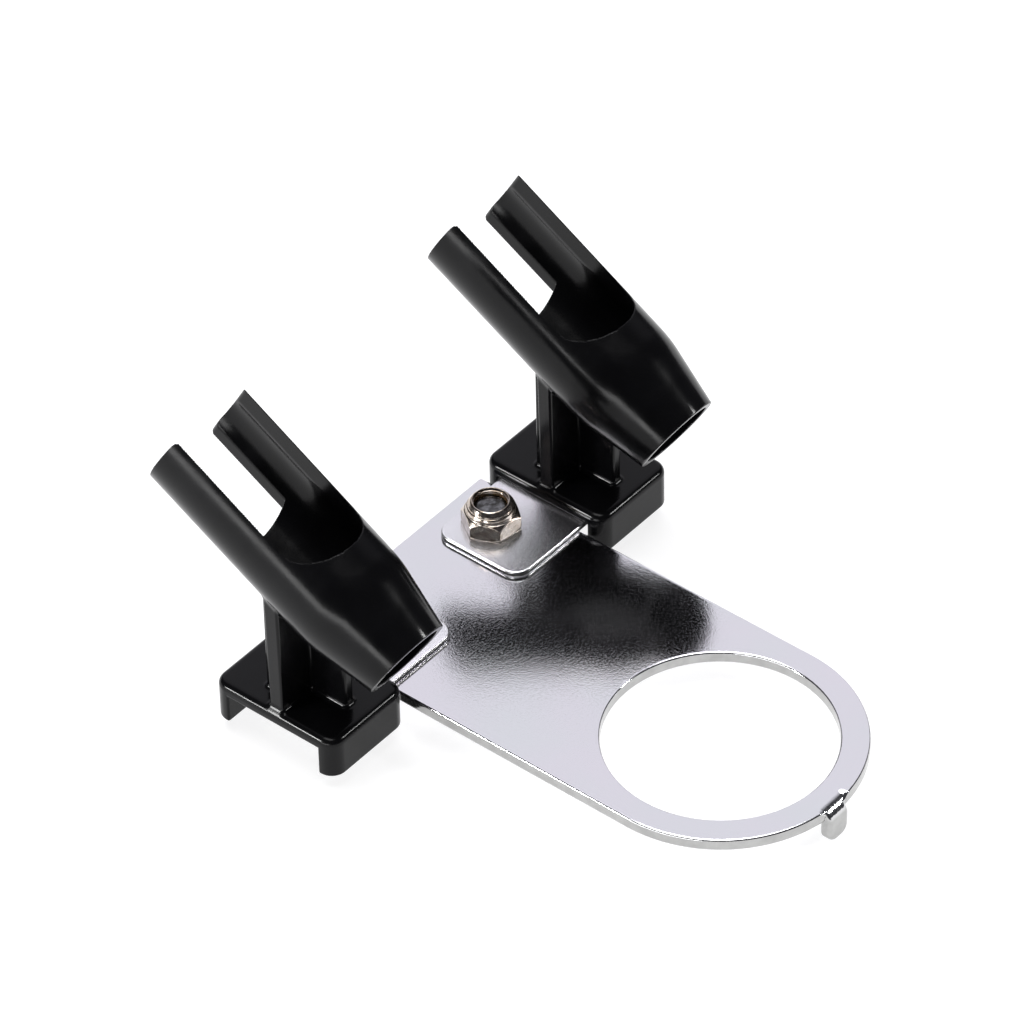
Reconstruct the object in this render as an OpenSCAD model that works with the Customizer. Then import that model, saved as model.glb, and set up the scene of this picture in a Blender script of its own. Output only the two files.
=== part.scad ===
// Airbrush holder stand: a ringed steel plate carries two short arms, each with a plastic holder.
// Frame: origin at the centre of the ring hole on the plate's underside, +Z up,
// +Y from the ring towards the arms, +X towards the right arm.

/* [Mounting plate] */
// Thickness of the plate
plate_t = 2; // [1.5:0.1:3]
// Radius of the ring hole
ring_r = 17.25; // [12:0.25:19]
// Outer radius of the ring, which is also half the width of the plate
ring_outer_r = 21.6; // [21:0.1:22]
// Distance from the ring centre to the back edge
plate_back_y = 62.4; // [60:0.1:70]
// Distance of the tab's middle from the plate's centre line
tab_x = -0.9; // [-2:0.1:2]
// Width of the tab that is bent down at the front of the ring
tab_w = 4.2; // [4:0.1:6]
// Outer radius of the tab's bend
tab_bend_r = 2.8; // [2.5:0.1:4]
// Reach of the tab's outer face in front of the ring centre
tab_front_y = 22.3; // [22:0.1:23]
// Depth of the tab's lower end below the plate's underside
tab_drop = 4.2; // [2:0.1:6]
// Corner radius at the tab's lower end
tab_corner_r = 1.6; // [0.5:0.1:1.8]

/* [Arms] */
// Thickness of an arm
arm_t = 1; // [0.8:0.1:1.5]
// Width of an arm
arm_w = 16.2; // [14:0.1:16.8]
// Distance from the centre line to an arm's inner end
arm_inner_x = 7; // [5:0.1:8]
// Distance from the centre line to an arm's outer end
arm_outer_x = 37; // [35:0.1:38]
// Corner radius of an arm
arm_corner_r = 2.7; // [1:0.1:4]

/* [Pivot fasteners] */
// Distance from the centre line to a pivot bolt
pivot_x = 13.7; // [13:0.1:15]
// Distance from the ring centre to the pivot bolts
pivot_y = 53.8; // [50:0.1:55]
// Nominal diameter of a pivot bolt
bolt_d = 5; // [4:0.5:5]
// Diameter of the pivot hole in the plate and in an arm
pivot_hole_d = 5.1; // [5.1:0.1:5.5]
// Diameter of a bolt head
bolt_head_d = 9.5; // [8:0.1:10]
// Height of a bolt head
bolt_head_h = 3.2; // [2.5:0.1:3.7]
// Distance of a bolt's end below the nut's top
bolt_end_depth = 1.2; // [0.5:0.1:1.8]
// Width of a lock nut across its flats
nut_af = 8; // [7.8:0.1:8]
// Height of a lock nut
nut_h = 4.8; // [4.7:0.1:5]
// Height of a lock nut's hexagon
nut_hex_h = 3; // [2.8:0.1:3.2]
// Angle of a nut's flats about its bolt
nut_angle = 57; // [0:1:60]

/* [Holder foot] */
// Distance from the centre line to a foot's centre
foot_x = 30.6; // [30.5:0.1:31]
// Distance from the ring centre to a foot's centre
foot_y = 51.2; // [51:0.1:52]
// Length of a foot along the arm
foot_len = 16.3; // [15:0.1:16.8]
// Width of a foot across the arm
foot_w = 23; // [22:0.1:23.5]
// Thickness of the foot above the arm
foot_top_t = 2.1; // [2:0.1:3]
// Depth of the skirts below the arm's top face
skirt_depth = 4.9; // [3:0.1:5.2]
// Width of the channel between the skirts
channel_w = 17; // [16.9:0.1:17.6]
// Radius of a foot's upright corners
foot_corner_r = 2.5; // [2:0.1:3]
// Radius of a foot's top edges
foot_edge_r = 1.2; // [0.5:0.1:1.5]

/* [Holder tube] */
// Rise of the tube above the level
tube_tilt = 29.8; // [25:0.1:35]
// Length of the tube from mouth to prong tips
tube_len = 44; // [40:0.1:48]
// Outer radius at the prong tips
tip_r = 9.05; // [9:0.05:9.5]
// Outer radius where the taper to the mouth starts
waist_r = 8.95; // [8.8:0.05:9]
// Outer radius of the mouth
mouth_r = 6.9; // [6.6:0.05:7.5]
// Length of the taper at the mouth
taper_len = 11; // [8:0.1:14]
// Radius of the bore between the prongs
bore_r = 7.5; // [7.3:0.05:7.6]
// Radius of the bore at the mouth
mouth_bore_r = 5.7; // [5:0.05:6]
// Distance from the foot's centre to the centre of the prong tips, along Y
tip_y = 19.1; // [15:0.05:22]
// Height of the centre of the prong tips above the arm
tip_z = 39.5; // [36:0.1:42]
// Width of the upper slot between the prongs
upper_slot_w = 14.26; // [13:0.1:14.4]
// Distance from the foot's centre to the upper slot's round end, along Y
upper_slot_y = -2.07; // [-4:0.05:0]
// Width of the lower slot between the prongs
lower_slot_w = 12.16; // [10:0.1:13]
// Distance from the foot's centre to the lower slot's flat end, along Y
lower_slot_y = 8.45; // [7:0.1:10]

/* [Holder pillar] */
// Width of the cross wall of the pillar
wall_w = 14.4; // [12:0.1:15]
// Thickness of the cross wall
wall_t = 2.5; // [2:0.1:3]
// Front face of the cross wall, measured from the foot's centre along Y
wall_y = -1.3; // [-2:0.1:0]
// Width of the screw block behind the cross wall
block_w = 9; // [8:0.1:11]
// Thickness of the screw block
block_t = 3; // [2:0.1:4]
// Thickness of the front web
web_t = 1.9; // [1.6:0.1:3]
// Front end of the web, measured from the foot's centre along Y
web_end_y = -7.8; // [-9:0.1:-6]

/* [Holder screws] */
// Diameter of a holder screw
screw_d = 3.5; // [3:0.1:3.5]
// Length of a holder screw under its head
screw_len = 11; // [8:0.5:12]
// Diameter of a holder screw's head
screw_head_d = 6.4; // [6:0.1:7]
// Height of a holder screw's head
screw_head_h = 1.9; // [1.5:0.1:2]

/* [Hidden] */

LEFT = -1;
RIGHT = 1;
$fn = 96;
slack = 1;                 // how far a cutting shape runs past the face it cuts
sink = 0.5;                // how far joined shapes run into each other
fit_gap = 0.02;            // radial gap of a thread or screw in its hole

chrome = "gainsboro";
zinc = "tan";
black_plastic = "#161618";
nylon = "ivory";

arm_top = plate_t + arm_t;
bolt_r = bolt_d / 2;
nut_corner_r = nut_af / 2 / cos(30);
nut_turned_r = nut_corner_r + 0.05;    // radius at which the turned cones would end
nut_bevel = 0.3;
nut_neck_r = 3.3;
nut_neck_h = 0.25;         // height of the cone between hexagon and collar
nut_collar_r = 3.4;
nut_lip_r = 2.65;
nut_lip_t = 0.3;
nut_bulge_drop = 0.9;      // depth of the collar's widest place below the nut's top
nut_lip_drop = 0.35;       // depth of the lip's outer edge below the nut's top
insert_t = 0.9;
insert_r = 2.95;
insert_drop = 0.6;         // depth of the insert's top below the nut's top
insert_z = nut_h - insert_drop - insert_t;
bolt_recess = [5, 1.1, 1.6];    // length, width and depth of the cross recess
screw_recess = [3.6, 0.8, 1];

screw_y = wall_y + (wall_t + block_t) / 2;
screw_hole_d = screw_d + 0.4;
screw_r = screw_d / 2;
point_len = 2;
point_r = 0.3;

straight_len = tube_len - taper_len;
pillar_top = tip_z;
wall_bite = 3.6;           // depth of the plane below the tube's axis at which the pillar ends
lower_slot_z = 12;         // height above the arm, between foot and tube, where the lower slot starts
reach = 60;                // size of a cutting block that is larger than a holder

// ---- mounting plate ----

module tab() {
    bend_y = tab_bend_r - tab_front_y;
    bend_z = plate_t - tab_bend_r;
    corner_x = tab_w / 2 - tab_corner_r;
    corner_z = tab_corner_r - tab_drop;
    // the bend, a quarter of a tube that lies along X
    intersection() {
        translate([-tab_w / 2, bend_y, bend_z])
            rotate([0, 90, 0])
            difference() {
                cylinder(r = tab_bend_r, h = tab_w);
                translate([0, 0, -slack])
                    cylinder(r = tab_bend_r - plate_t, h = tab_w + 2 * slack);
            }
        translate([-tab_w / 2 - slack, bend_y - tab_bend_r - slack, bend_z])
            cube([tab_w + 2 * slack, tab_bend_r + slack, tab_bend_r + slack]);
    }
    // the upright end with its rounded lower corners
    translate([-tab_w / 2, -tab_front_y, corner_z])
        cube([tab_w, plate_t, bend_z - corner_z]);
    translate([-corner_x, -tab_front_y, -tab_drop])
        cube([2 * corner_x, plate_t, tab_corner_r + sink]);
    for (side = [LEFT, RIGHT])
        translate([side * corner_x, -tab_front_y, corner_z])
            rotate([-90, 0, 0])
            cylinder(r = tab_corner_r, h = plate_t);
}

module mounting_plate() {
    bend_y = tab_bend_r - tab_front_y;
    color(chrome) {
        difference() {
            union() {
                cylinder(r = ring_outer_r, h = plate_t, $fn = 180);
                translate([-ring_outer_r, 0, 0])
                    cube([2 * ring_outer_r, plate_back_y, plate_t]);
            }
            translate([0, 0, -slack])
                cylinder(r = ring_r, h = plate_t + 2 * slack, $fn = 180);
            // room for the tab's bend in the rim of the ring
            translate([tab_x - tab_w / 2, bend_y - tab_bend_r - slack, -slack])
                cube([tab_w, tab_bend_r + slack, plate_t + 2 * slack]);
            for (side = [LEFT, RIGHT])
                translate([side * pivot_x, pivot_y, -slack])
                    cylinder(d = pivot_hole_d, h = plate_t + 2 * slack);
        }
        translate([tab_x, 0, 0])
            tab();
    }
}

// ---- arms ----

module rounded_bar(length, width, height, corner) {
    translate([corner, 0, 0])
        cube([length - 2 * corner, width, height]);
    translate([0, corner, 0])
        cube([length, width - 2 * corner, height]);
    for (x = [corner, length - corner], y = [corner, width - corner])
        translate([x, y, 0])
            cylinder(r = corner, h = height);
}

module arm(side) {
    inner_x = side == RIGHT ? arm_inner_x : -arm_outer_x;
    color(chrome)
        difference() {
            translate([inner_x, foot_y - arm_w / 2, plate_t])
                rounded_bar(arm_outer_x - arm_inner_x, arm_w, arm_t, arm_corner_r);
            translate([side * pivot_x, pivot_y, plate_t - slack])
                cylinder(d = pivot_hole_d, h = arm_t + 2 * slack);
            translate([side * foot_x, foot_y + screw_y, plate_t - slack])
                cylinder(d = screw_hole_d, h = arm_t + 2 * slack);
        }
}

// ---- fasteners ----

// Two crossed slots, cut upwards from z = 0
module cross_recess(size) {
    for (turn = [45, 135])
        rotate(turn)
            translate([-size.x / 2, -size.y / 2, -slack])
            cube([size.x, size.y, size.z + slack]);
}

module pivot_bolt(side) {
    edge = 0.8;
    chamfer = 0.5;
    shank_len = arm_top + nut_h - bolt_end_depth;
    head_r = bolt_head_d / 2;
    color(zinc)
        translate([side * pivot_x, pivot_y, 0])
        difference() {
            union() {
                translate([0, 0, -bolt_head_h])
                    cylinder(r1 = head_r - edge, r2 = head_r, h = edge);
                translate([0, 0, edge - bolt_head_h])
                    cylinder(r = head_r, h = bolt_head_h - edge);
                cylinder(r = bolt_r, h = shank_len - chamfer);
                translate([0, 0, shank_len - chamfer])
                    cylinder(r1 = bolt_r, r2 = bolt_r - chamfer, h = chamfer);
            }
            translate([0, 0, -bolt_head_h])
                cross_recess(bolt_recess);
        }
}

module lock_nut(side) {
    shoulder_h = nut_hex_h + nut_neck_h;
    bulge_h = nut_h - nut_bulge_drop;
    lip_h = nut_h - nut_lip_drop;
    color(zinc)
        translate([side * pivot_x, pivot_y, arm_top])
        difference() {
            union() {
                // the hexagon, with its corners turned down to cones above and below
                intersection() {
                    rotate(nut_angle)
                        cylinder(r = nut_corner_r, h = nut_hex_h + sink, $fn = 6);
                    rotate_extrude()
                        polygon([
                            [0, 0], [nut_turned_r - 2 * nut_bevel, 0], [nut_turned_r, nut_bevel],
                            [nut_turned_r, nut_hex_h - nut_bevel], [nut_neck_r, shoulder_h],
                            [0, shoulder_h]
                        ]);
                }
                // the round collar with its turned-in lip
                rotate_extrude()
                    polygon([
                        [0, nut_hex_h - sink], [nut_neck_r, nut_hex_h - sink],
                        [nut_neck_r, shoulder_h], [nut_collar_r, bulge_h],
                        [nut_collar_r - nut_lip_t / 2, lip_h], [nut_lip_r + nut_lip_t, nut_h], [0, nut_h]
                    ]);
            }
            // threaded hole, groove for the insert and opening of the lip
            translate([0, 0, -slack])
                cylinder(r = bolt_r + fit_gap, h = nut_h + slack);
            translate([0, 0, insert_z])
                cylinder(r = insert_r, h = insert_t);
            translate([0, 0, nut_h - insert_drop])
                cylinder(r = nut_lip_r, h = insert_drop + slack);
        }
}

module nut_insert(side) {
    color(nylon)
        translate([side * pivot_x, pivot_y, arm_top + insert_z])
        difference() {
            cylinder(r = insert_r, h = insert_t);
            translate([0, 0, -slack])
                cylinder(r = bolt_r + fit_gap, h = insert_t + 2 * slack);
        }
}

module holder_screw(side) {
    edge = 0.5;
    head_r = screw_head_d / 2;
    color(zinc)
        translate([side * foot_x, foot_y + screw_y, plate_t])
        difference() {
            union() {
                translate([0, 0, -screw_head_h])
                    cylinder(r1 = head_r - edge, r2 = head_r, h = edge);
                translate([0, 0, edge - screw_head_h])
                    cylinder(r = head_r, h = screw_head_h - edge);
                cylinder(r = screw_r, h = screw_len - point_len);
                translate([0, 0, screw_len - point_len])
                    cylinder(r1 = screw_r, r2 = point_r, h = point_len);
            }
            translate([0, 0, -screw_head_h])
                cross_recess(screw_recess);
        }
}

// ---- holder ----

// Profile of half a block, with a rounded top edge
module edge_profile(half_width, height) {
    square([half_width - foot_edge_r, height]);
    square([half_width, height - foot_edge_r]);
    translate([half_width - foot_edge_r, height - foot_edge_r])
        circle(r = foot_edge_r, $fn = 48);
}

// Block from z = 0 up, with rounded corners and a rounded top edge
module foot_block(length, width, height) {
    straight_x = length / 2 - foot_corner_r;
    straight_y = width / 2 - foot_corner_r;
    for (half = [0, 180])
        rotate(half) {
            translate([0, straight_y, 0])
                rotate([90, 0, 0])
                linear_extrude(2 * straight_y)
                edge_profile(length / 2, height);
            rotate(90)
                translate([0, straight_x, 0])
                rotate([90, 0, 0])
                linear_extrude(2 * straight_x)
                edge_profile(width / 2, height);
        }
    for (x = [-straight_x, straight_x], y = [-straight_y, straight_y])
        translate([x, y, 0])
            rotate_extrude()
            edge_profile(foot_corner_r, height);
}

module foot() {
    difference() {
        translate([0, 0, -skirt_depth])
            foot_block(foot_len, foot_w, skirt_depth + foot_top_t);
        translate([-foot_len, -channel_w / 2, -skirt_depth - slack])
            cube([2 * foot_len, channel_w, skirt_depth + slack]);
    }
}

// Places a shape that is drawn along +Z from the prong tips down to the mouth
module along_tube() {
    translate([0, tip_y, tip_z])
        rotate([90 + tube_tilt, 0, 0])
        children();
}

module tube_outside() {
    along_tube() {
        cylinder(r1 = tip_r, r2 = waist_r, h = straight_len);
        translate([0, 0, straight_len])
            cylinder(r1 = waist_r, r2 = mouth_r, h = taper_len);
    }
}

module tube_bore() {
    along_tube() {
        translate([0, 0, -slack])
            cylinder(r = bore_r, h = straight_len + slack);
        translate([0, 0, straight_len])
            cylinder(r1 = bore_r, r2 = mouth_bore_r, h = taper_len);
        translate([0, 0, tube_len - sink])
            cylinder(r = mouth_bore_r, h = slack + sink);
    }
}

// Everything above a plane that lies parallel to the tube's axis, at a distance below it
module above_tube_plane(drop) {
    along_tube()
        translate([-reach / 2, -drop, -reach / 2])
        cube([reach, reach, 2 * reach]);
}

module upper_slot() {
    intersection() {
        union() {
            translate([0, upper_slot_y, 0])
                cylinder(d = upper_slot_w, h = reach);
            translate([-upper_slot_w / 2, upper_slot_y, 0])
                cube([upper_slot_w, reach, reach]);
        }
        above_tube_plane(0);
    }
}

module lower_slot() {
    translate([-lower_slot_w / 2, lower_slot_y, lower_slot_z])
        cube([lower_slot_w, reach, reach]);
}

module pillar() {
    difference() {
        union() {
            translate([-wall_w / 2, wall_y, 0])
                cube([wall_w, wall_t, pillar_top]);
            translate([-block_w / 2, wall_y + wall_t - sink, 0])
                cube([block_w, block_t + sink, pillar_top]);
            translate([-web_t / 2, web_end_y, 0])
                cube([web_t, wall_y - web_end_y + sink, pillar_top]);
        }
        above_tube_plane(wall_bite);
    }
}

module holder(side) {
    color(black_plastic)
        translate([side * foot_x, foot_y, arm_top])
        difference() {
            union() {
                foot();
                pillar();
                tube_outside();
            }
            tube_bore();
            upper_slot();
            lower_slot();
            translate([0, screw_y, -slack])
                cylinder(r = screw_r + fit_gap, h = screw_len + slack);
        }
}

// ---- nodes ----

module left_arm() { arm(LEFT); }
module right_arm() { arm(RIGHT); }
module left_holder() { holder(LEFT); }
module right_holder() { holder(RIGHT); }
module left_pivot_bolt() { pivot_bolt(LEFT); }
module right_pivot_bolt() { pivot_bolt(RIGHT); }
module left_lock_nut() { lock_nut(LEFT); }
module right_lock_nut() { lock_nut(RIGHT); }
module left_nut_insert() { nut_insert(LEFT); }
module right_nut_insert() { nut_insert(RIGHT); }
module left_holder_screw() { holder_screw(LEFT); }
module right_holder_screw() { holder_screw(RIGHT); }

mounting_plate();
left_arm();
right_arm();
left_holder();
right_holder();
left_pivot_bolt();
right_pivot_bolt();
left_lock_nut();
right_lock_nut();
left_nut_insert();
right_nut_insert();
left_holder_screw();
right_holder_screw();
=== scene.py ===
"""Airbrush holder stand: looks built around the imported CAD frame.

Every shape is a distance field in millimetres, meshed finely and shaded with its own gradient, so that
rounded edges, fillets and mirror-flat faces are exact. Sizes are the CAD's.
"""

import math

import bpy
import numpy as np
from mathutils import Matrix, Vector


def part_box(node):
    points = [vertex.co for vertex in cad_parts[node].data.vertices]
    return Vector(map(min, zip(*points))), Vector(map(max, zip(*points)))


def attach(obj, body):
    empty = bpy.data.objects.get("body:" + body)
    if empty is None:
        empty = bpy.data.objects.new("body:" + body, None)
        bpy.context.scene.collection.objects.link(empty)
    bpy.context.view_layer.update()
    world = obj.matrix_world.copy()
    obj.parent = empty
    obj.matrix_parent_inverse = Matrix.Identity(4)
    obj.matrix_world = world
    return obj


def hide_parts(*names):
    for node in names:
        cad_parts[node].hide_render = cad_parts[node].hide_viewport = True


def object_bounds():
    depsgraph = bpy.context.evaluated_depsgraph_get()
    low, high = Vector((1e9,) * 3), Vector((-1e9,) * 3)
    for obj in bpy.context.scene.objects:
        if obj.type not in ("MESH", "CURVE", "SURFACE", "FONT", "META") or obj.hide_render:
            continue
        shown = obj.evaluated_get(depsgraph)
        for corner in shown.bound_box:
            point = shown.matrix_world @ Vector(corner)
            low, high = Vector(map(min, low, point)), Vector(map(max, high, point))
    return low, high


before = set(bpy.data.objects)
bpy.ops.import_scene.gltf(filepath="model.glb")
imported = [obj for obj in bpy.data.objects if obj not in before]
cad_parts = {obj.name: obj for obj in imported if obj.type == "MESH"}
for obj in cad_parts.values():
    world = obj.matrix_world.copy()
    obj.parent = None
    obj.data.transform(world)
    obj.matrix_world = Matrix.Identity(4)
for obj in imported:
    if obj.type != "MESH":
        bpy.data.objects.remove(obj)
cad_low, cad_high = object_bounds()

MM = 0.001
LEFT, RIGHT = -1, 1
DETAIL = 1.0  # coarser meshes while trying things


# ---- distance fields, in millimetres, negative inside ----


def length(*parts):
    """Length of a vector, given its components."""
    return np.sqrt(sum(p * p for p in parts))


def both(a, b, r=0.0):
    """What lies in a and in b; a right-angled edge between them is rounded with radius r."""
    if r == 0.0:
        return np.maximum(a, b)
    return np.minimum(-r, np.maximum(a, b)) + length(np.maximum(r + a, 0), np.maximum(r + b, 0))


def join(a, b, r=0.0):
    """What lies in a or in b; a right-angled corner between them is filled with radius r."""
    return -both(-a, -b, r)


def cut(a, b, r=0.0):
    """a without b."""
    return both(a, -b, r)


def both_soft(a, b, k):
    """What lies in a and in b, with a soft crease where they meet at a shallow angle."""
    h = np.maximum(k - np.abs(a - b), 0) / k
    return np.maximum(a, b) + h * h * k / 4


def ease(t):
    """0 to 1 without a kink at either end."""
    return t * t * (3 - 2 * t)


def between(value, low, high):
    """Distance from the slab between low and high."""
    return np.abs(value - (low + high) / 2) - (high - low) / 2


def rect(x, y, cx, cy, hx, hy, r=0.0):
    """Rectangle with rounded corners."""
    qx = np.abs(x - cx) - (hx - r)
    qy = np.abs(y - cy) - (hy - r)
    return length(np.maximum(qx, 0), np.maximum(qy, 0)) + np.minimum(np.maximum(qx, qy), 0) - r


# ---- field to mesh ----

CORNERS = [(i, j, k) for i in (0, 1) for j in (0, 1) for k in (0, 1)]
CELL_EDGES = [
    (a, b) for a in CORNERS for b in CORNERS
    if a < b and sum(abs(p - q) for p, q in zip(a, b)) == 1
]
PROBE = 0.004  # half the step over which a slope is taken
FLAT_SLOPE, TINY = 1e-6, 1e-9  # keep divisions away from zero
GRID_MARGIN = 2  # cells left free round a piece


def slope(points, field):
    """Gradient of the field."""
    found = np.empty_like(points)
    for axis in range(3):
        step = np.zeros(3)
        step[axis] = PROBE
        found[:, axis] = (field(*(points + step).T) - field(*(points - step).T)) / (2 * PROBE)
    return found


def normals_at(points, field):
    """The field's direction of steepest rise, as unit vectors."""
    grad = slope(points, field)
    return grad / np.maximum(np.linalg.norm(grad, axis=1), TINY)[:, None]


def settle(points, field, reach, turns):
    """Moves points onto the field's surface, by at most reach in each turn."""
    for _ in range(turns):
        grad = slope(points, field)
        steepness = np.maximum((grad * grad).sum(1), FLAT_SLOPE)
        move = field(*points.T) / steepness
        points = points - np.clip(move, -reach, reach)[:, None] * grad
    return points


def net(field, low, high, cell):
    """Points and quads of the field's surface, one point a grid cell."""
    low = np.array(low, float) - GRID_MARGIN * cell
    counts = np.ceil((np.array(high, float) - low) / cell).astype(int) + GRID_MARGIN + 1
    axes = [low[i] + cell * np.arange(counts[i]) for i in range(3)]
    grid = np.meshgrid(*axes, indexing="ij", sparse=True)
    value = np.broadcast_to(field(*grid), counts).astype(np.float32)
    inside = value < 0
    cells = counts - 1
    count = np.zeros(cells, np.uint8)
    for i, j, k in CORNERS:
        count += inside[i : i + cells[0], j : j + cells[1], k : k + cells[2]]
    active = (count > 0) & (count < len(CORNERS))
    at = np.argwhere(active)
    number = np.full(cells, -1, np.int64)
    number[active] = np.arange(len(at))
    total, hits = np.zeros((len(at), 3)), np.zeros(len(at))
    for a, b in CELL_EDGES:
        va = value[tuple((at + a).T)]
        vb = value[tuple((at + b).T)]
        crossed = (va < 0) != (vb < 0)
        share = np.where(crossed, va / np.where(crossed, va - vb, 1), 0)
        spot = np.array(a) + share[:, None] * (np.array(b) - np.array(a))
        total[crossed] += spot[crossed]
        hits += crossed
    points = low + cell * (at + total / hits[:, None])
    quads = []
    for axis in range(3):
        u, v = (axis + 1) % 3, (axis + 2) % 3
        first = np.moveaxis(inside, axis, 0)[:-1]
        last = np.moveaxis(inside, axis, 0)[1:]
        changed = np.argwhere(np.moveaxis(first != last, 0, axis))
        changed = changed[(changed[:, u] > 0) & (changed[:, v] > 0)]
        du, dv = np.eye(3, dtype=int)[u], np.eye(3, dtype=int)[v]
        ring = [changed - du - dv, changed - dv, changed, changed - du]
        quad = np.stack([number[tuple(c.T)] for c in ring], 1)
        solid = inside[tuple(changed.T)]
        quads.append(np.where(solid[:, None], quad, quad[:, ::-1]))
    return points, np.concatenate(quads)


def skin(name, field, low, high, cell, keep=1.0):
    """Mesh of the field's surface in metres, thinned to the share keep, with exact normals."""
    cell = cell * DETAIL
    points, quads = net(field, low, high, cell)
    points = settle(points, field, cell / 2, turns=4)
    mesh = bpy.data.meshes.new(name)
    mesh.from_pydata(points * MM, [], quads)
    mesh.update()
    if keep < 1.0:
        full = bpy.data.objects.new(name + "_full", mesh)
        bpy.context.scene.collection.objects.link(full)
        thin = full.modifiers.new("thin", "DECIMATE")
        thin.ratio = keep
        graph = bpy.context.evaluated_depsgraph_get()
        thinned = bpy.data.meshes.new_from_object(full.evaluated_get(graph))
        bpy.data.objects.remove(full)
        bpy.data.meshes.remove(mesh)
        mesh = thinned
        mesh.name = name
    spots = np.empty(len(mesh.vertices) * 3)
    mesh.vertices.foreach_get("co", spots)
    points = settle(spots.reshape(-1, 3) / MM, field, cell / 2, turns=3)
    mesh.vertices.foreach_set("co", (points * MM).ravel())
    mesh.polygons.foreach_set("use_smooth", np.ones(len(mesh.polygons), bool))
    mesh.update()
    mesh.normals_split_custom_set_from_vertices(normals_at(points, field))
    return mesh


def place(name, mesh, body, nodes, material, at=(0, 0, 0)):
    """A piece at a place in the row frame, in mm, that rides on a body and stands for CAD nodes."""
    piece = bpy.data.objects.new(name, mesh)
    bpy.context.scene.collection.objects.link(piece)
    piece.location = Vector(at) * MM
    if not mesh.materials:
        mesh.materials.append(material)
    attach(piece, body)
    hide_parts(*nodes)
    return piece


# ---- sizes, in millimetres ----

plate_low, plate_high = [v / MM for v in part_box("mounting_plate")]
arm_low, arm_high = [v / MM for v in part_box("right_arm")]
nut_low, nut_high = [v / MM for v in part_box("right_lock_nut")]
bolt_low, bolt_high = [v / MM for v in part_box("right_pivot_bolt")]
screw_low, screw_high = [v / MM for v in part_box("right_holder_screw")]
insert_low, insert_high = [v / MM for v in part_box("right_nut_insert")]

PLATE_T = plate_high.z
PLATE_EDGE_R, PLATE_CORNER_R = 0.35, 0.4
RING_R, RING_OUT = 17.25, plate_high.x
BACK_Y = plate_high.y
PIVOT = ((bolt_low.x + bolt_high.x) / 2, (bolt_low.y + bolt_high.y) / 2)
PIVOT_HOLE_R, PIVOT_HOLE_EDGE_R = 2.55, 0.15

TAB_X, TAB_HALF = -0.9, 2.1
TAB_CORNER_R, TAB_EDGE_R = 1.6, 0.55
TAB_ROOT = 1.2  # how far the strip reaches into the plate behind its bend
TAB_EASE = 1.0  # over which the rim's top eases down to the bend
BEND_R = 2.8
BEND_Y = plate_low.y + BEND_R
BEND_Z = PLATE_T - BEND_R
RIM_LEAD = 0.8 * BEND_R  # how far the rim follows the bend

ARM_TOP = arm_high.z
ARM_CORNER_R, ARM_EDGE_R, ARM_HOLE_EDGE_R = 2.7, 0.3, 0.1
SCREW_AT = ((screw_low.x + screw_high.x) / 2, (screw_low.y + screw_high.y) / 2)
SCREW_PASS_R = 1.95  # hole in the arm
FOOT = (30.6, 51.2)  # centre of the right foot


# ---- mounting plate ----


def tab_field(x, y, z):
    """The strip that leaves the rim, bends down and ends in two rounded corners."""
    yy, zz = y - BEND_Y, z - BEND_Z
    half = PLATE_T / 2
    middle = BEND_R - half  # radius of the strip's middle in the bend
    level = np.abs(zz - middle)
    bent = np.abs(length(yy, zz) - middle)
    upright = np.abs(yy + middle)
    strip = np.where(zz < 0, upright, np.where(yy > 0, level, bent)) - half
    strip = np.where((zz < 0) & (yy > 0), length(yy, zz) + middle - half, strip)
    end = rect(x, z, TAB_X, 0, TAB_HALF, -plate_low.z, TAB_CORNER_R)
    return both(both(strip, end, TAB_EDGE_R), y - BEND_Y - TAB_ROOT)


def plate_field(x, y, z):
    """The plate with its ring hole, the two pivot holes and the tab."""
    outline = np.where(y > 0, np.abs(x), length(x, y)) - RING_OUT
    outline = both(outline, y - BACK_Y, PLATE_CORNER_R)
    lead = np.clip(BEND_Y - y, 0, RIM_LEAD)
    near = np.clip((TAB_HALF + TAB_EASE - np.abs(x - TAB_X)) / TAB_EASE, 0, 1)
    sag = (BEND_R - np.sqrt(BEND_R**2 - lead**2)) * ease(near)
    slab = both(outline, np.maximum(z - PLATE_T + sag, -z), PLATE_EDGE_R)
    slab = cut(slab, length(x, y) - RING_R, PLATE_EDGE_R)
    for side in (LEFT, RIGHT):
        hole = length(x - side * PIVOT[0], y - PIVOT[1]) - PIVOT_HOLE_R
        slab = cut(slab, hole, PIVOT_HOLE_EDGE_R)
    return join(slab, tab_field(x, y, z))


# ---- arms ----


def arm_field(x, y, z):
    """The right arm."""
    cx, cy = (arm_low.x + arm_high.x) / 2, (arm_low.y + arm_high.y) / 2
    outline = rect(x, y, cx, cy, (arm_high.x - arm_low.x) / 2, (arm_high.y - arm_low.y) / 2, ARM_CORNER_R)
    slab = both(outline, between(z, PLATE_T, ARM_TOP), ARM_EDGE_R)
    slab = cut(slab, length(x - PIVOT[0], y - PIVOT[1]) - PIVOT_HOLE_R, ARM_HOLE_EDGE_R)
    return cut(slab, length(x - SCREW_AT[0], y - SCREW_AT[1]) - SCREW_PASS_R, ARM_HOLE_EDGE_R)


# ---- holder, with z = 0 at the arm's top and x = y = 0 at the foot's centre ----

TILT = math.radians(29.8)
TIP_Y, TIP_Z = 19.1, 39.5
TUBE_LEN, TAPER = 44.0, 11.0
TIP_R, WAIST_R, MOUTH_R = 9.05, 8.95, 6.9
BORE_R, MOUTH_BORE_R = 7.5, 5.7
TAPER_EASE = 0.35  # softness of the crease where the taper starts
TUBE_EDGE_R = 0.15

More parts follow.
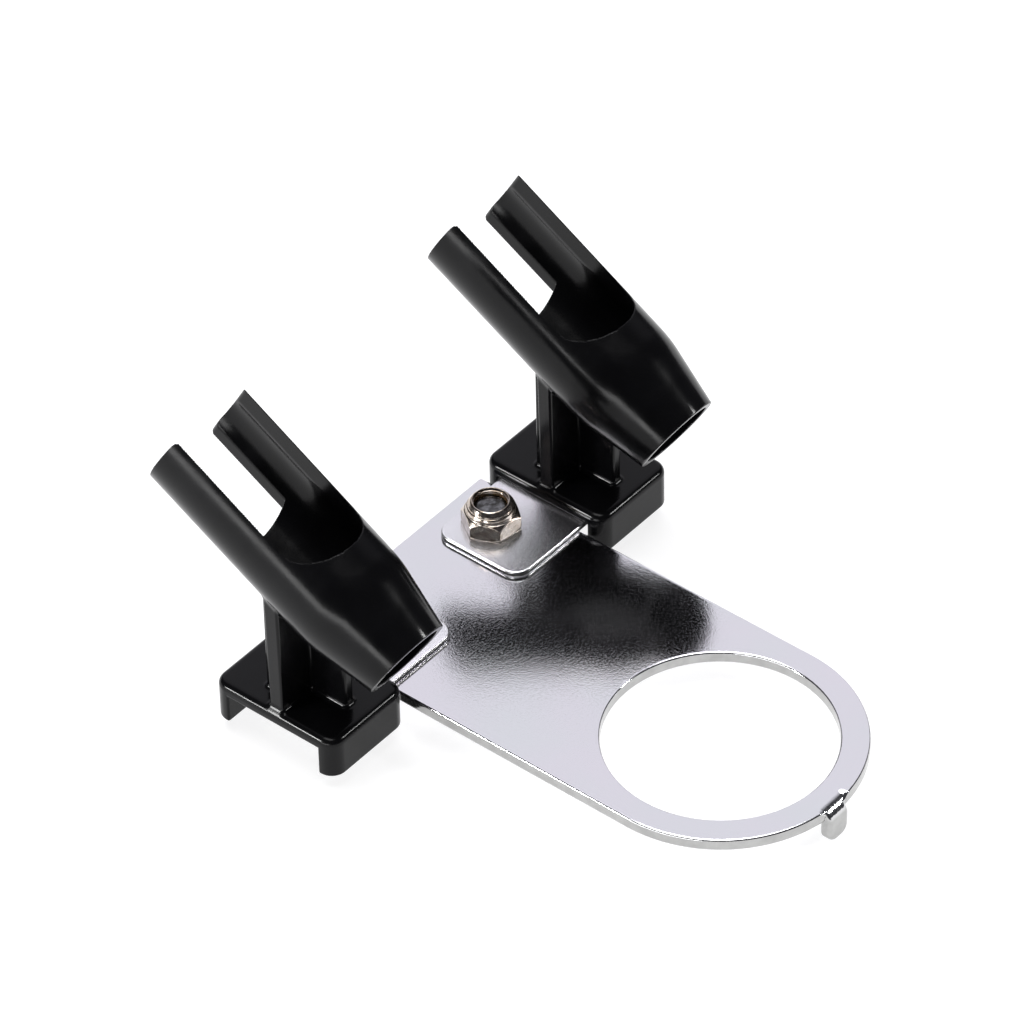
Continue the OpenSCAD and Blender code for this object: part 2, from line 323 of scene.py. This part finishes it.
SCOOP_R, SCOOP_Y = 7.13, -2.07
SCOOP_EDGE_R = 0.12
LOWER_SLOT_HALF, LOWER_SLOT_Y, LOWER_SLOT_Z = 6.08, 8.45, 12
PRONG_CORNER_R = 0.8

FOOT_HALF_X, FOOT_HALF_Y, FOOT_CORNER_R = 8.15, 11.5, 2.5
FOOT_TOP, FOOT_TOP_R = 2.1, 1.2
SKIRT, SKIRT_EDGE_R = 4.9, 0.35
CHANNEL_HALF, CHANNEL_EDGE_R = 8.5, 0.3

DRAFT, DRAFT_H = 0.3, 22  # the wall widens upwards by DRAFT over DRAFT_H
WALL = dict(cx=0, cy=-0.05, hy=1.25, r=0.35)
WALL_HALF = 7.2
BLOCK = dict(cx=0, cy=2.6, hx=4.5, hy=1.6, r=0.5)
WEB = dict(cx=0, cy=-4.3, hx=0.95, hy=3.5, r=0.5)
BLOCK_FILLET, WEB_FILLET, FOOT_FILLET, TUBE_FILLET = 0.3, 0.4, 0.8, 0.45
PILLAR_UNDER = 3.6  # how far under the tube's axis the pillar ends, inside the tube's wall or bore
PILOT_R, PILOT_DEPTH = 1.77, 11  # the screw's hole in the pillar


def along_tube(x, y, z):
    """Distance from the tips towards the mouth, height above the axis, distance from the axis."""
    dy, dz = y - TIP_Y, z - TIP_Z
    along = -(dy * math.cos(TILT) + dz * math.sin(TILT))
    up = dz * math.cos(TILT) - dy * math.sin(TILT)
    return along, up, length(x, up)


def cone(out, along, r0, r1):
    """Cone through radius r0 where the taper starts and r1 at the mouth."""
    fall = (r0 - r1) / TAPER
    return (out - r0 + fall * (along - TUBE_LEN + TAPER)) * math.cos(math.atan(fall))


def tube_field(along, up, out):
    """The tube's outside and its bore, both tapered at the mouth."""
    straight = out - TIP_R + (TIP_R - WAIST_R) * along / (TUBE_LEN - TAPER)
    tube = both_soft(straight, cone(out, along, WAIST_R, MOUTH_R), TAPER_EASE)
    tube = both(tube, between(along, 0, TUBE_LEN), TUBE_EDGE_R)
    return tube, both(out - BORE_R, cone(out, along, BORE_R, MOUTH_BORE_R))


def foot_field(x, y, z):
    """The foot with the channel that straddles the arm."""
    foot = rect(x, y, 0, 0, FOOT_HALF_X, FOOT_HALF_Y, FOOT_CORNER_R)
    foot = both(foot, z - FOOT_TOP, FOOT_TOP_R)
    foot = both(foot, -SKIRT - z, SKIRT_EDGE_R)
    return cut(foot, both(np.abs(y) - CHANNEL_HALF, z), CHANNEL_EDGE_R)


def pillar_field(x, y, z, up):
    """The cross wall, the block behind it and the web in front."""
    widen = DRAFT * np.clip((z - FOOT_TOP) / DRAFT_H, 0, 1)
    wall = rect(x, y, hx=WALL_HALF + widen, **WALL)
    pillar = join(join(wall, rect(x, y, **BLOCK), BLOCK_FILLET), rect(x, y, **WEB), WEB_FILLET)
    return both(both(pillar, up + PILLAR_UNDER), -z)


def holder_field(x, y, z):
    """The whole moulding."""
    along, up, out = along_tube(x, y, z)
    tube, bore = tube_field(along, up, out)
    solid = join(foot_field(x, y, z), pillar_field(x, y, z, up), FOOT_FILLET)
    solid = join(solid, tube, TUBE_FILLET)
    solid = cut(solid, bore, TUBE_EDGE_R)
    scoop = join(length(x, np.minimum(y - SCOOP_Y, 0)) - SCOOP_R, along, PRONG_CORNER_R)
    solid = cut(solid, both(scoop, -up), SCOOP_EDGE_R)
    lower_slot = join(both(np.abs(x) - LOWER_SLOT_HALF, LOWER_SLOT_Y - y), along, PRONG_CORNER_R)
    solid = cut(solid, both(lower_slot, LOWER_SLOT_Z - z), TUBE_EDGE_R)
    pilot = length(x, y - SCREW_AT[1] + FOOT[1]) - PILOT_R
    return cut(solid, both(pilot, z - PILOT_DEPTH))


# ---- fasteners, each about its own axis ----

THREAD_HOLE_R = 2.52
NUT_H = nut_high.z - ARM_TOP
NUT_AF = 8.0  # across flats
NUT_FLATS = (30, 90, 150)  # degrees
NUT_TURN = -3.0  # degrees
NUT_CORNER = NUT_AF / 2 / math.cos(math.pi / 6)
NUT_BEVEL, BEVEL_NORMAL = 0.55, (0.5, -0.866)
SHOULDER_Z, SHOULDER_NORMAL = 2.05, (0.79, 0.613)
HEX_H, HEX_EDGE_R, SHOULDER_EASE = 3.0, 0.12, 0.15
COLLAR_R, COLLAR_LOW, COLLAR_EASE = 3.85, 2.6, 0.4
LIP_R, LIP_EDGE_R, COLLAR_NORMAL = 2.85, 0.3, (0.803, 0.595)
COLLAR_FILLET = 0.08
GROOVES = ((3.98, 3.12, 0.22), (3.57, 3.95, 0.14))  # radius, height and depth
GROOVE_EDGE_R, THREAD_EDGE_R = 0.07, 0.05
WELL_R, WELL_DEPTH, WELL_EDGE_R = 2.7, 0.6, 0.14

INSERT_R, INSERT_EDGE_R = 2.93, 0.1
INSERT_BEVEL, INSERT_BEVEL_NORMAL, INSERT_BEVEL_R = 0.2, (0.8, 0.6), 0.08

RECESS_FADE, RECESS_NARROW = 0.35, 0.15  # how the cross shrinks with its depth
SHANK_ROOT = 1  # how far a shank reaches into its head
BOLT_HEAD_EDGE_R, BOLT_R, BOLT_END_R = 0.9, 2.5, 0.5
BOLT_RECESS = dict(half_length=2.5, half_width=0.55, depth=1.6)
BOLT_RECESS_EDGE_R = 0.1
SCREW_HEAD_EDGE_R, SCREW_R, SCREW_POINT = 0.6, 1.72, 0.7
SCREW_RECESS = dict(half_length=1.8, half_width=0.4, depth=1.0)
SCREW_RECESS_EDGE_R = 0.08


def incline(out, z, r, at, normal):
    """Cone through radius r at a height, with its normal's outward and upward parts."""
    return (out - r) * normal[0] + (z - at) * normal[1]


def nut_field(x, y, z):
    """Hexagon with a domed, grooved collar, a threaded hole and a well at the top."""
    out = length(x, y)
    hexagon = 0
    for angle in NUT_FLATS:
        turn = math.radians(angle + NUT_TURN)
        hexagon = np.maximum(hexagon, np.abs(x * math.cos(turn) + y * math.sin(turn)))
    hexagon = both(hexagon - NUT_AF / 2, -z, HEX_EDGE_R)
    lower = incline(out, z, NUT_CORNER - NUT_BEVEL, 0, BEVEL_NORMAL)
    shoulder = incline(out, z, NUT_CORNER, SHOULDER_Z, SHOULDER_NORMAL)
    hexagon = both_soft(both_soft(hexagon, lower, HEX_EDGE_R), shoulder, SHOULDER_EASE)
    hexagon = both(hexagon, z - HEX_H, HEX_EDGE_R)
    dome = both_soft(out - COLLAR_R, incline(out, z, LIP_R, NUT_H, COLLAR_NORMAL), COLLAR_EASE)
    collar = both(both(dome, z - NUT_H, LIP_EDGE_R), COLLAR_LOW - z)
    waist, line = [length(out - r, z - at) - depth for r, at, depth in GROOVES]
    solid = cut(join(hexagon, collar, COLLAR_FILLET), np.minimum(waist, line), GROOVE_EDGE_R)
    solid = cut(solid, out - THREAD_HOLE_R, THREAD_EDGE_R)
    well = both(out - WELL_R, (NUT_H - WELL_DEPTH) - z)
    return cut(solid, well, WELL_EDGE_R)


def insert_field(x, y, z):
    """The nylon ring, bevelled inside its top edge."""
    out = length(x, y)
    low, top = insert_low.z - ARM_TOP, insert_high.z - ARM_TOP
    ring = both(out - INSERT_R, between(z, low, top), INSERT_EDGE_R)
    rise = np.maximum(z - top + INSERT_BEVEL, 0)
    hole = (out - THREAD_HOLE_R) * INSERT_BEVEL_NORMAL[0] - rise * INSERT_BEVEL_NORMAL[1]
    return cut(ring, hole, INSERT_BEVEL_R)


def recess(x, y, z, half_length, half_width, depth):
    """Cross recess that narrows upwards from z = 0."""
    a, b = (x + y) / math.sqrt(2), (x - y) / math.sqrt(2)
    fade, narrow = RECESS_FADE * z, RECESS_NARROW * z
    one = both(np.abs(a) - half_length + fade, np.abs(b) - half_width + narrow)
    two = both(np.abs(b) - half_length + fade, np.abs(a) - half_width + narrow)
    return both(np.minimum(one, two), z - depth)


def bolt_field(x, y, z):
    """Pan head below z = 0, shank above."""
    out = length(x, y)
    head_h = -bolt_low.z
    head_r = (bolt_high.x - bolt_low.x) / 2
    head = both(out - head_r, between(z, -head_h, 0), BOLT_HEAD_EDGE_R)
    shank = both(out - BOLT_R, z - bolt_high.z, BOLT_END_R)
    bolt = np.minimum(head, both(shank, -z - SHANK_ROOT))
    return cut(bolt, recess(x, y, z + head_h, **BOLT_RECESS), BOLT_RECESS_EDGE_R)


def screw_field(x, y, z):
    """Pan head below z = PLATE_T, thread above with a pointed end."""
    out = length(x, y)
    up = z - PLATE_T
    head_h = PLATE_T - screw_low.z
    head_r = (screw_high.x - screw_low.x) / 2
    head = both(out - head_r, between(up, -head_h, 0), SCREW_HEAD_EDGE_R)
    point = screw_high.z - PLATE_T
    shank = both(out - SCREW_R, (out + (up - point)) * SCREW_POINT)
    screw = np.minimum(head, both(shank, -up - SHANK_ROOT))
    return cut(screw, recess(x, y, up + head_h, **SCREW_RECESS), SCREW_RECESS_EDGE_R)


# ---- materials ----

MICRON = 0.000001
CHROME_FACE = ((0.865, 0.88, 0.895), (0.89, 0.87, 0.91))
BLACK = ((0.0022, 0.0022, 0.0026), (0.004, 0.004, 0.0046))
NYLON = ((0.20, 0.10, 0.035), (0.36, 0.21, 0.09))
MIX_SHARE, MIX_FIRST, MIX_SECOND, MIX_RESULT = 0, 6, 7, 2  # a Mix node's sockets for colours


def new_material(name):
    """A material with its tree, its shader and object coordinates."""
    material = bpy.data.materials.new(name)
    material.use_nodes = True
    tree = material.node_tree
    shader = tree.nodes["Principled BSDF"]
    place_node = tree.nodes.new("ShaderNodeTexCoord")
    return material, tree, shader, place_node.outputs["Object"]


def noise(tree, place_out, scale, detail, rough=0.5):
    """A cloudy texture's grey value; a cloud is about 1 / scale metres across."""
    node = tree.nodes.new("ShaderNodeTexNoise")
    node.inputs["Scale"].default_value = scale
    node.inputs["Detail"].default_value = detail
    node.inputs["Roughness"].default_value = rough
    tree.links.new(place_out, node.inputs["Vector"])
    return node.outputs["Fac"]


def spread(tree, value, low, high, start=0.3, end=0.7):
    """Maps start to end onto low to high."""
    node = tree.nodes.new("ShaderNodeMapRange")
    node.inputs["From Min"].default_value = start
    node.inputs["From Max"].default_value = end
    node.inputs["To Min"].default_value = low
    node.inputs["To Max"].default_value = high
    tree.links.new(value, node.inputs["Value"])
    return node.outputs["Result"]


def blend_colour(tree, value, low, high, start=0.35, end=0.65):
    """Colour low up to start, high from end on."""
    ramp = tree.nodes.new("ShaderNodeValToRGB")
    ramp.color_ramp.elements[0].position = start
    ramp.color_ramp.elements[0].color = (*low, 1)
    ramp.color_ramp.elements[1].position = end
    ramp.color_ramp.elements[1].color = (*high, 1)
    tree.links.new(value, ramp.inputs["Fac"])
    return ramp.outputs["Color"]


def bump(tree, shader, layers, lean=None):
    """Bumps on top of each other, each (height, depth in metres); lean tips the whole surface."""
    last = None
    for height, depth in layers:
        node = tree.nodes.new("ShaderNodeBump")
        node.inputs["Strength"].default_value = 1.0
        node.inputs["Distance"].default_value = depth
        tree.links.new(height, node.inputs["Height"])
        if last is not None:
            tree.links.new(last, node.inputs["Normal"])
        last = node.outputs["Normal"]
    if lean:
        tipped = tree.nodes.new("ShaderNodeVectorMath")
        tipped.inputs[1].default_value = lean
        tree.links.new(last, tipped.inputs[0])
        unit = tree.nodes.new("ShaderNodeVectorMath")
        unit.operation = "NORMALIZE"
        tree.links.new(tipped.outputs["Vector"], unit.inputs[0])
        last = unit.outputs["Vector"]
    tree.links.new(last, shader.inputs["Normal"])


def levelness(tree):
    """1 on faces that look up or down, 0 on upright ones."""
    shape = tree.nodes.new("ShaderNodeNewGeometry")
    split = tree.nodes.new("ShaderNodeSeparateXYZ")
    tree.links.new(shape.outputs["Normal"], split.inputs["Vector"])
    size = tree.nodes.new("ShaderNodeMath")
    size.operation = "ABSOLUTE"
    tree.links.new(split.outputs["Z"], size.inputs[0])
    return size.outputs["Value"]


def chrome_material(name, grain, rough, sheared_and_shade_colours, lean=None):
    """Mirror plating with a fine grain and roughness; upright faces get greyer colours, partly for duller
    cut metal and partly as painted shade on what they mirror.
    """
    material, tree, shader, where = new_material(name)
    shader.inputs["Metallic"].default_value = 1.0
    face = blend_colour(tree, noise(tree, where, scale=60, detail=3), *CHROME_FACE)
    # Upright faces get the darker edge colours: partly duller cut metal, partly painted shade that keeps
    # their mirrored floor grey.
    edge = blend_colour(tree, noise(tree, where, scale=500, detail=3), *sheared_and_shade_colours)
    tint = tree.nodes.new("ShaderNodeMix")
    tint.data_type = "RGBA"
    level = spread(tree, levelness(tree), low=0.0, high=1.0, start=0.25, end=0.75)
    tree.links.new(level, tint.inputs[MIX_SHARE])
    tree.links.new(edge, tint.inputs[MIX_FIRST])
    tree.links.new(face, tint.inputs[MIX_SECOND])
    tree.links.new(tint.outputs[MIX_RESULT], shader.inputs["Base Color"])
    cloud = noise(tree, where, scale=3000, detail=2)
    tree.links.new(spread(tree, cloud, *rough), shader.inputs["Roughness"])
    bump(tree, shader, [
        (noise(tree, where, scale=5200, detail=1), grain),
        (noise(tree, where, scale=2800, detail=1), grain * 0.6),
        (noise(tree, where, scale=60, detail=1), grain * 3),
    ], lean)
    return material


def plastic_material(name):
    """Black moulded plastic with a soft gloss."""
    material, tree, shader, where = new_material(name)
    tint = blend_colour(tree, noise(tree, where, scale=120, detail=3), *BLACK)
    tree.links.new(tint, shader.inputs["Base Color"])
    shader.inputs["IOR"].default_value = 1.5
    shader.inputs["Specular IOR Level"].default_value = 0.18
    cloud = noise(tree, where, scale=300, detail=5)
    tree.links.new(spread(tree, cloud, low=0.14, high=0.22), shader.inputs["Roughness"])
    bump(tree, shader, [
        (noise(tree, where, scale=2600, detail=3), 4 * MICRON),
        (noise(tree, where, scale=320, detail=2), 12 * MICRON),
    ])
    return material


def zinc_material(name, low, high, rough):
    """Plated steel, cloudy between two colours."""
    material, tree, shader, where = new_material(name)
    shader.inputs["Metallic"].default_value = 1.0
    cloud = noise(tree, where, scale=1100, detail=4, rough=0.6)
    tree.links.new(blend_colour(tree, cloud, low, high), shader.inputs["Base Color"])
    dull = noise(tree, where, scale=2500, detail=3)
    tree.links.new(spread(tree, dull, *rough), shader.inputs["Roughness"])
    bump(tree, shader, [
        (noise(tree, where, scale=5200, detail=3), 6 * MICRON),
        (noise(tree, where, scale=900, detail=2), 10 * MICRON),
    ])
    return material


def nylon_material(name):
    """Nylon stained brown by oil."""
    material, tree, shader, where = new_material(name)
    cloud = noise(tree, where, scale=900, detail=3)
    tree.links.new(blend_colour(tree, cloud, *NYLON), shader.inputs["Base Color"])
    shader.inputs["Roughness"].default_value = 0.35
    shader.inputs["Subsurface Weight"].default_value = 0.3
    shader.inputs["Subsurface Scale"].default_value = 0.0005
    bump(tree, shader, [(noise(tree, where, scale=3000, detail=2), 5 * MICRON)])
    return material


# Each chrome's second pair of colours goes on upright faces: partly duller cut metal, partly painted shade
# that dims what they mirror.
chrome_plate = chrome_material(
    "chrome_plate", 7 * MICRON, (0.05, 0.17), [(0.40, 0.40, 0.395), (0.46, 0.46, 0.455)])
chrome_arm = chrome_material(
    "chrome_arm", 6 * MICRON, (0.2, 0.27), [(0.20, 0.20, 0.195), (0.29, 0.29, 0.285)], (-0.05, -0.05, 0.0))
black = plastic_material("black_plastic")
zinc = zinc_material("yellow_zinc", (0.40, 0.33, 0.27), (0.74, 0.68, 0.63), (0.13, 0.24))
steel = zinc_material("zinc_steel", (0.30, 0.30, 0.29), (0.48, 0.48, 0.47), (0.16, 0.26))
# Darker steel for the bolt shanks: painted shade for the thread end that sits deep in the nut's well.
recess_shade_steel = zinc_material("painted_shade_thread_end", (0.05, 0.05, 0.048), (0.24, 0.24, 0.25), (0.14, 0.24))
nylon = nylon_material("nylon")


# ---- pieces ----

MIRROR = np.array([-1, 1, 1])


def mirrored(mesh, name, field):
    """The mesh's mirror image across x = 0, shaded with the mirrored gradient."""
    other = mesh.copy()
    other.name = name
    spots = np.empty(len(other.vertices) * 3)
    other.vertices.foreach_get("co", spots)
    spots = spots.reshape(-1, 3) * MIRROR
    other.vertices.foreach_set("co", spots.ravel())
    other.flip_normals()
    other.update()
    normals = normals_at(spots / MM * MIRROR, field) * MIRROR
    other.normals_split_custom_set_from_vertices(normals)
    return other


def about_axis(half, low, high):
    """Square box about the z axis."""
    return (-half, -half, low), (half, half, high)


plate_mesh = skin("plate_visual", plate_field, plate_low, plate_high, cell=0.25, keep=0.3)
place("plate_visual", plate_mesh, "plate", ["mounting_plate"], chrome_plate)

arm_mesh = skin("right_arm_visual", arm_field, arm_low, arm_high, cell=0.15, keep=0.3)
place("right_arm_visual", arm_mesh, "right_swing_arm", ["right_arm"], chrome_arm)
left_mesh = mirrored(arm_mesh, "left_arm_visual", arm_field)
place("left_arm_visual", left_mesh, "left_swing_arm", ["left_arm"], chrome_arm)

holder_box = (-TIP_R, -23, -SKIRT), (TIP_R, 23.7, 47.5)
nut_box = about_axis(4.6, 0, NUT_H)
insert_box = about_axis(3, insert_low.z - ARM_TOP, insert_high.z - ARM_TOP)
bolt_box = about_axis(4.8, bolt_low.z, bolt_high.z)
screw_box = about_axis(3.3, screw_low.z, screw_high.z)

holder_mesh = skin("holder_visual", holder_field, *holder_box, cell=0.2, keep=0.3)
nut_mesh = skin("nut_visual", nut_field, *nut_box, cell=0.09, keep=0.5)
insert_mesh = skin("insert_visual", insert_field, *insert_box, cell=0.08, keep=0.5)
bolt_mesh = skin("bolt_visual", bolt_field, *bolt_box, cell=0.14, keep=0.5)
bolt_mesh.materials.append(steel)
bolt_mesh.materials.append(recess_shade_steel)
# The shank takes the darker steel as painted shade for its end sunk in the nut.
for face in bolt_mesh.polygons:
    face.material_index = int(face.center.z > 0)  # the shank is darker than the head
screw_mesh = skin("screw_visual", screw_field, *screw_box, cell=0.12, keep=0.5)
for side, word in ((LEFT, "left"), (RIGHT, "right")):
    arm_body = word + "_swing_arm"
    pivot_at = (side * PIVOT[0], PIVOT[1])
    place(word + "_holder_visual", holder_mesh, arm_body, [word + "_holder"], black,
          (side * FOOT[0], FOOT[1], ARM_TOP))
    place(word + "_nut_visual", nut_mesh, "plate", [word + "_lock_nut"], zinc,
          (*pivot_at, ARM_TOP))
    place(word + "_insert_visual", insert_mesh, "plate", [word + "_nut_insert"], nylon,
          (*pivot_at, ARM_TOP))
    place(word + "_bolt_visual", bolt_mesh, "plate", [word + "_pivot_bolt"], steel,
          (*pivot_at, 0))
    place(word + "_screw_visual", screw_mesh, arm_body, [word + "_holder_screw"], steel,
          (side * SCREW_AT[0], SCREW_AT[1], 0))


# ---- floor, light and camera, in metres ----

FLOOR_HALF, FLOOR_DROP = 1.6, 0.0001
CARD = (0.57, 0.48, 0.67)  # towards the pale card
ROOM_COLOUR, CARD_COLOUR = (0.045, 0.045, 0.05), (0.78, 0.77, 0.83)
CARD_EDGE = (0.68, 0.86)  # cosines from CARD between which the card fades into the room
OBJECT_AT = (0.0, 0.02, 0.01)
LAMPS = [  # name, place, aim, width and height, watts
    ("overhead", (-0.02, 0.08, 1.2), (-0.02, 0.08, 0.0), (1.0, 0.88), 11.0),
    ("left", (-0.75, 0.0, 0.075), OBJECT_AT, (0.7, 0.12), 2.0),
    ("back_left", (-0.815, 0.488, 0.253), OBJECT_AT, (0.14, 0.14), 4.2),
    ("front_right", (0.57, -0.65, 0.48), OBJECT_AT, (0.1, 0.1), 2.4),
]
# The camera was fitted to the ring, the plate's edges, the nut and both holders.
AZIMUTH, ELEVATION, ROLL = (math.radians(a) for a in (49.71, 41.83, -1.293))
CAMERA_AT = (-0.56596, -0.44171, 0.68776)
LENS, SENSOR = 243.6, 36  # millimetres


def floor():
    """Pale ground, slightly self-lit so that shadows stay faint."""
    half, depth = FLOOR_HALF, cad_low.z - FLOOR_DROP
    corners = [(-half, -half, depth), (half, -half, depth), (half, half, depth), (-half, half, depth)]
    mesh = bpy.data.meshes.new("floor")
    mesh.from_pydata(corners, [], [(0, 1, 2, 3)])
    piece = bpy.data.objects.new("floor", mesh)
    bpy.context.scene.collection.objects.link(piece)
    material, tree, shader, where = new_material("pale_floor")
    cloud = noise(tree, where, scale=8, detail=2)
    tint = blend_colour(tree, cloud, (0.41, 0.41, 0.412), (0.43, 0.43, 0.432))
    tree.links.new(tint, shader.inputs["Base Color"])
    shader.inputs["Roughness"].default_value = 0.7
    shader.inputs["Emission Color"].default_value = (1, 1, 1, 1)
    shader.inputs["Emission Strength"].default_value = 0.75
    mesh.materials.append(material)


def softbox(name, at, aim, size, power):
    """Rectangular lamp that looks at a point."""
    light = bpy.data.lights.new(name, "AREA")
    light.shape = "RECTANGLE"
    light.size, light.size_y = size
    light.energy = power
    lamp = bpy.data.objects.new(name, light)
    bpy.context.scene.collection.objects.link(lamp)
    lamp.location = at
    lamp.rotation_euler = (Vector(aim) - Vector(at)).to_track_quat("-Z", "Y").to_euler()


def surroundings():
    """A dim room with one large pale card behind the object, where the plate mirrors it."""
    world = bpy.data.worlds.new("studio")
    bpy.context.scene.world = world
    world.use_nodes = True
    tree = world.node_tree
    back = tree.nodes["Background"]
    where = tree.nodes.new("ShaderNodeTexCoord")
    facing = tree.nodes.new("ShaderNodeVectorMath")
    facing.operation = "DOT_PRODUCT"
    facing.inputs[1].default_value = CARD
    tree.links.new(where.outputs["Generated"], facing.inputs[0])
    tint = blend_colour(tree, facing.outputs["Value"], ROOM_COLOUR, CARD_COLOUR, *CARD_EDGE)
    tree.links.new(tint, back.inputs["Color"])
    back.inputs["Strength"].default_value = 1.0


def add_camera():
    """The camera, from its azimuth, elevation and roll."""
    ahead = Vector((
        math.sin(AZIMUTH) * math.cos(ELEVATION),
        math.cos(AZIMUTH) * math.cos(ELEVATION),
        -math.sin(ELEVATION),
    ))
    across = Vector((math.cos(AZIMUTH), -math.sin(AZIMUTH), 0))
    above = across.cross(ahead)
    right = across * math.cos(ROLL) + above * math.sin(ROLL)
    top = above * math.cos(ROLL) - across * math.sin(ROLL)
    data = bpy.data.cameras.new("camera")
    data.lens = LENS
    data.sensor_width = SENSOR
    data.clip_start, data.clip_end = 0.05, 20
    camera = bpy.data.objects.new("camera", data)
    bpy.context.scene.collection.objects.link(camera)
    turn = Matrix((right, top, -ahead)).transposed().to_4x4()
    camera.matrix_world = Matrix.Translation(Vector(CAMERA_AT)) @ turn
    bpy.context.scene.camera = camera


floor()
surroundings()
for lamp_settings in LAMPS:
    softbox(*lamp_settings)
add_camera()
bpy.context.scene.view_settings.view_transform = "Standard"
